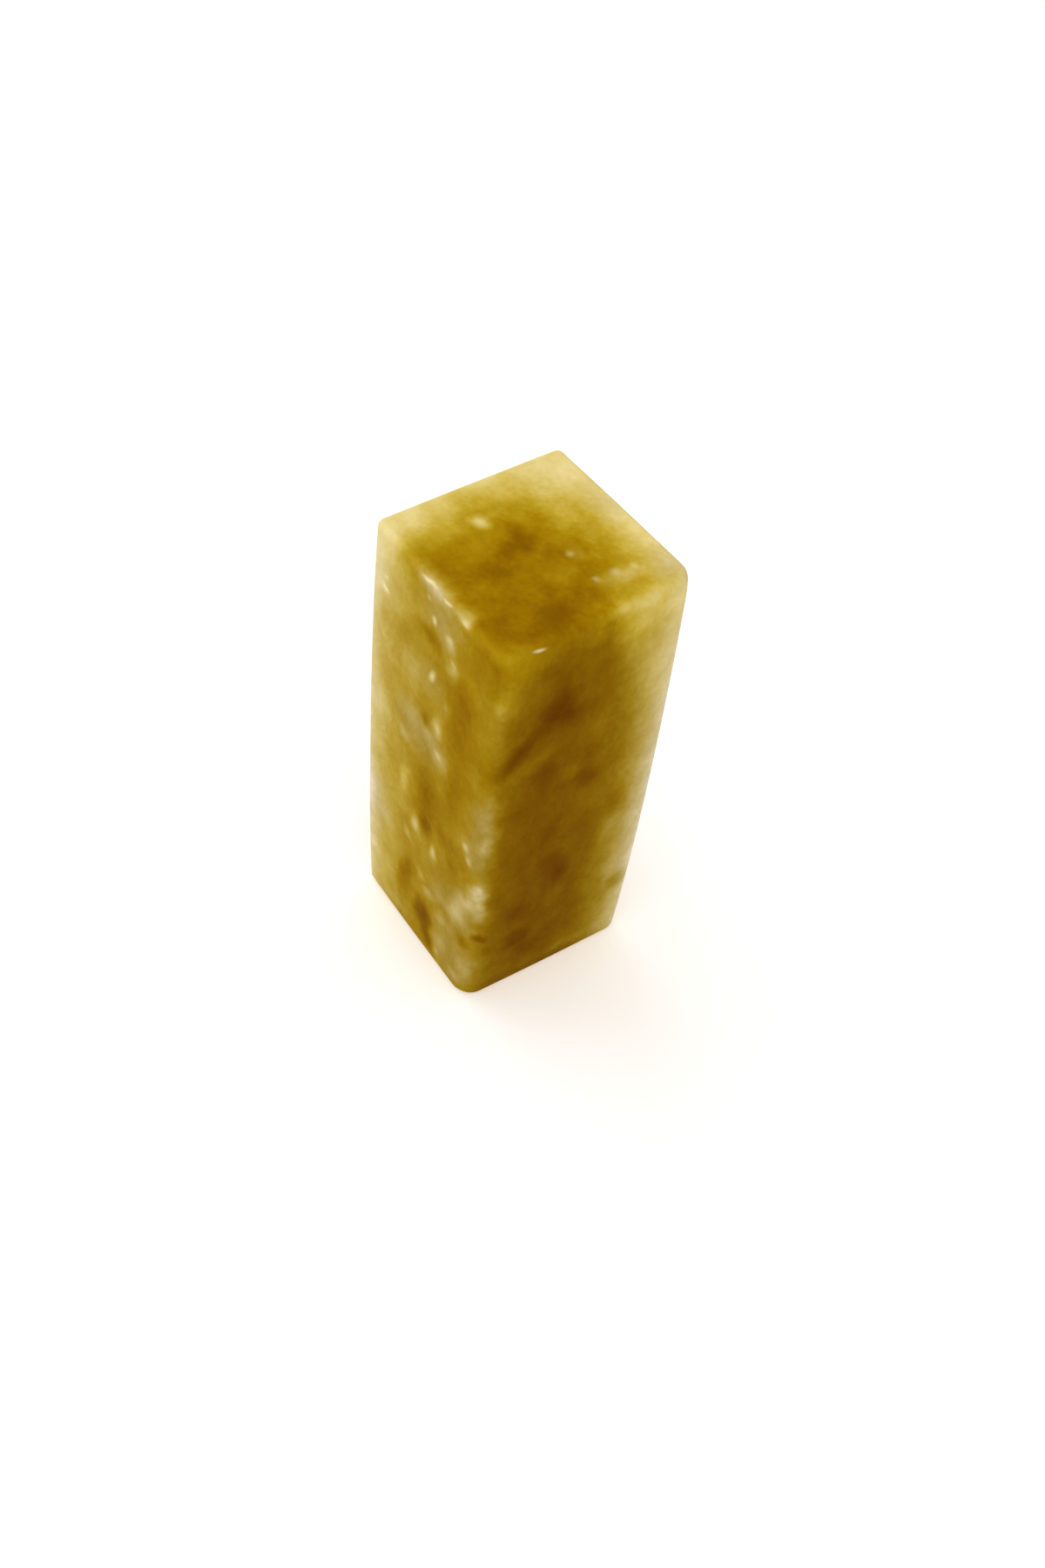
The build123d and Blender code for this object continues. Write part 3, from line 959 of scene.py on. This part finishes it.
    smear = graph.noise(place, 0.35, 3.0).outputs[0]
    rough = graph.math("MULTIPLY_ADD", smear, 0.22, 0.27)
    graph.feed(shader["Roughness"], graph.math("MULTIPLY_ADD", worked, 0.38, rough))
    shader["Specular IOR Level"].default_value = STONE_SPECULAR
    waves = graph.noise(place, 0.3, 1.0).outputs[0]
    rubbing = graph.math("MULTIPLY_ADD", speckle, 0.02, graph.math("MULTIPLY", waves, 0.25))
    cuts = graph.math("MULTIPLY", graph.math("MULTIPLY", worked, speckle), 0.12)
    height = graph.math("ADD", rubbing, cuts)
    bump = graph.node("Bump", {"Height": height, "Strength": 0.35, "Distance": 0.15 * MM})
    graph.feed(shader["Normal"], bump.outputs[0])
    return material


def seal_paste(paste):
    """Cinnabar paste: a dull oily red that is deeper where it is thick, with clots and fibres."""
    material, graph, shader = principled("seal_paste")
    place = graph.place()
    grain = bpy.data.node_groups.get("fine_grain") or grain_group()
    clots = graph.noise(place, 2.4, 4.0, 0.6).outputs[0]
    thin = graph.node("MapRange", {"Value": clots, "From Min": 0.42, "From Max": 0.66}).outputs[0]
    graph.feed(shader["Base Color"], graph.blend(thin, paste.fresh, paste.dry))
    graph.feed(shader["Roughness"], graph.math("MULTIPLY_ADD", thin, 0.25, 0.45))
    shader["Specular IOR Level"].default_value = PASTE_SPECULAR
    fine = graph.use(grain, {"Place": place, "Size": 0.09})
    height = graph.math("ADD", clots, graph.math("MULTIPLY", fine, 0.5))
    graph.feed(shader["Normal"], graph.node("Bump", {"Height": height, "Strength": 0.6,
                                                    "Distance": 0.08 * MM}).outputs[0])
    return material


# Studio


def floor_material():
    """A white table. Seen by the camera or in a gloss it is part white glow, part plain white, so that it
    ends in a white background and keeps a faint warm shadow. From below it isn't there."""
    material = bpy.data.materials.new("studio_floor")
    material.use_nodes = True
    material.node_tree.nodes.clear()
    graph = Graph(material.node_tree)
    seen = graph.node("LightPath").outputs
    direct = graph.math("MAXIMUM", seen["Is Camera Ray"],
                        graph.math("MAXIMUM", seen["Is Glossy Ray"], seen["Is Transmission Ray"]))
    plain = graph.node("BsdfDiffuse", {"Color": (0.85, 0.85, 0.85, 1)})
    shaded = graph.node("BsdfDiffuse", {"Color": (0.66, 0.80, 0.95, 1)})
    glowing = graph.node("Emission", {"Color": (0.475, 0.33, 0.176, 1), "Strength": 1.0})
    white = graph.node("AddShader", [shaded.outputs[0], glowing.outputs[0]])
    both = graph.node("MixShader", [direct, plain.outputs[0], white.outputs[0]])
    clear = graph.node("BsdfTransparent")
    under = graph.node("NewGeometry").outputs["Backfacing"]
    shown = graph.node("MixShader", [under, both.outputs[0], clear.outputs[0]])
    graph.node("OutputMaterial", {"Surface": shown.outputs[0]})
    return material


def floor_sheet(stone):
    """A flat ring of strips: the table with an opening under the stone. The opening follows the outline of
    the foot, inside it by a share of the foot radius, so that it lights the print face from below and
    stays hidden from above. The outer rim is the same outline made larger."""
    core, outward, _, radius = rounded_grid(stone)
    edge = face_edge(CORE_CELLS + 2 * CORNER_CELLS + 1)
    count = len(edge)
    reach = radius[edge] - OPENING_INSET_SHARE * stone.foot_radius
    opening = np.column_stack([core[edge] + outward[edge] * reach[:, None], np.zeros(count)])
    inner = handle(opening, stone)[:, :2]
    outer = inner * TABLE_HALF / (stone.side / 2)
    points = np.column_stack([np.concatenate([inner, outer]), np.full(2 * count, -TABLE_CLEARANCE)])
    start = np.arange(count)
    after = np.roll(start, -1)
    sides = np.stack([start + count, after + count, after, start], 1)
    return SimpleNamespace(points=points, sides=sides, triangles=np.zeros((0, 3), int))


def soft_lamp(name, strength, azimuth, elevation, spread):
    """A distant lamp with a wide face, in the same angles as the camera's."""
    lamp = bpy.data.lights.new(name, "SUN")
    lamp.energy = strength * pi
    lamp.angle = spread
    lit = bpy.data.objects.new(name, lamp)
    lit.rotation_euler = view_matrix(azimuth, elevation, 0.0).to_euler()
    bpy.context.scene.collection.objects.link(lit)


def view_matrix(azimuth, elevation, roll):
    """Rotation that looks at the stone from this side and height. It is made of three turns: the view
    tipped up from straight down, turned round the stone, and rolled about its own axis."""
    tipped = Matrix.Rotation(pi / 2 - elevation, 3, "X") @ Matrix.Rotation(roll, 3, "Z")
    return Matrix.Rotation(azimuth, 3, "Z") @ tipped


def set_world(daylight):
    """Even white light from all round, and a white background."""
    world = bpy.data.worlds.new("studio_world")
    bpy.context.scene.world = world
    world.use_nodes = True
    world.node_tree.nodes.clear()
    graph = Graph(world.node_tree)
    seen = graph.node("LightPath").outputs
    direct = graph.math("MAXIMUM", seen["Is Camera Ray"],
                        graph.math("MAXIMUM", seen["Is Glossy Ray"], seen["Is Transmission Ray"]))
    light = graph.node("Background", {"Color": (1, 1, 1, 1), "Strength": daylight})
    backdrop = graph.node("Background", {"Color": (1, 1, 1, 1), "Strength": 1.0})
    mixed = graph.node("MixShader", [direct, light.outputs[0], backdrop.outputs[0]])
    graph.node("OutputWorld", {"Surface": mixed.outputs[0]})


def set_camera(studio):
    """The camera at the photograph's place: back from its target along the line of sight."""
    data = bpy.data.cameras.new("studio_camera")
    data.sensor_width = SENSOR_SIZE
    data.lens = studio.lens
    data.clip_start = MM
    camera = bpy.data.objects.new("studio_camera", data)
    turned = view_matrix(studio.azimuth, studio.elevation, studio.roll)
    place = Vector(studio.target) + turned @ Vector((0, 0, studio.distance))
    camera.matrix_world = Matrix.Translation(place) @ turned.to_4x4()
    bpy.context.scene.collection.objects.link(camera)
    bpy.context.scene.camera = camera


# Operators and panel


class SEAL_OT_stone(bpy.types.Operator):
    """Build the carved stone"""

    bl_idname = "seal_stamp.stone"
    bl_label = "Seal Stone"

    def execute(self, context):
        scene = context.scene
        surface = stone_surface(scene.seal_stone, scene.seal_carving)
        piece = make_piece("carved_stone", surface, soapstone(scene.seal_stone),
                           [("stain", surface.stain), ("worked", surface.worked)])
        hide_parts("seal_stone")
        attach(piece, "root")
        return {"FINISHED"}


class SEAL_OT_paste(bpy.types.Operator):
    """Lay the paste that the wiped face keeps"""

    bl_idname = "seal_stamp.paste"
    bl_label = "Paste Residue"

    def execute(self, context):
        scene = context.scene
        surface = paste_surface(scene.seal_stone, scene.seal_carving, scene.seal_paste)
        piece = make_piece("paste_film", surface, seal_paste(scene.seal_paste))
        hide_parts("paste_residue")
        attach(piece, "root")
        return {"FINISHED"}


class SEAL_OT_studio(bpy.types.Operator):
    """Set the table, the light and the camera"""

    bl_idname = "seal_stamp.studio"
    bl_label = "Studio"

    def execute(self, context):
        scene = context.scene
        studio = scene.seal_studio
        floor = make_piece("studio_table", floor_sheet(scene.seal_stone), floor_material())
        set_world(studio.daylight)
        soft_lamp("window_light", studio.window, WINDOW_AZIMUTH, WINDOW_ELEVATION, WINDOW_SPREAD)
        soft_lamp("fill_light", studio.fill, studio.azimuth, FILL_ELEVATION, FILL_SPREAD)
        set_camera(studio)
        scene.view_settings.view_transform = "Standard"
        return {"FINISHED"}


class SEAL_PT_panel(bpy.types.Panel):
    """Sizes, colours and pieces of the seal stamp"""

    bl_idname = "SEAL_PT_panel"
    bl_label = "Seal Stamp"
    bl_space_type = "VIEW_3D"
    bl_region_type = "UI"
    bl_category = "Seal Stamp"

    def draw(self, context):
        for group, title, operator in PARTS:
            box = self.layout.box()
            box.label(text=title)
            settings = getattr(context.scene, group)
            for name in settings.bl_rna.properties.keys():
                if name not in ("rna_type", "name"):
                    box.prop(settings, name)
            if operator:
                box.operator(operator)


PARTS = (
    ("seal_stone", "Stone", SEAL_OT_stone.bl_idname),
    ("seal_carving", "Carving", None),
    ("seal_paste", "Paste", SEAL_OT_paste.bl_idname),
    ("seal_studio", "Studio", SEAL_OT_studio.bl_idname),
)
SETTINGS = {
    "seal_stone": SealStoneSettings,
    "seal_carving": SealCarvingSettings,
    "seal_paste": SealPasteSettings,
    "seal_studio": SealStudioSettings,
}
CLASSES = (*SETTINGS.values(), SEAL_OT_stone, SEAL_OT_paste, SEAL_OT_studio, SEAL_PT_panel)


def register():
    for kind in CLASSES:
        bpy.utils.register_class(kind)
    for name, kind in SETTINGS.items():
        setattr(bpy.types.Scene, name, PointerProperty(type=kind))


def unregister():
    for name in SETTINGS:
        delattr(bpy.types.Scene, name)
    for kind in reversed(CLASSES):
        bpy.utils.unregister_class(kind)


def main():
    register()
    bpy.ops.seal_stamp.stone()
    bpy.ops.seal_stamp.paste()
    bpy.ops.seal_stamp.studio()


if __name__ == "__main__":
    main()
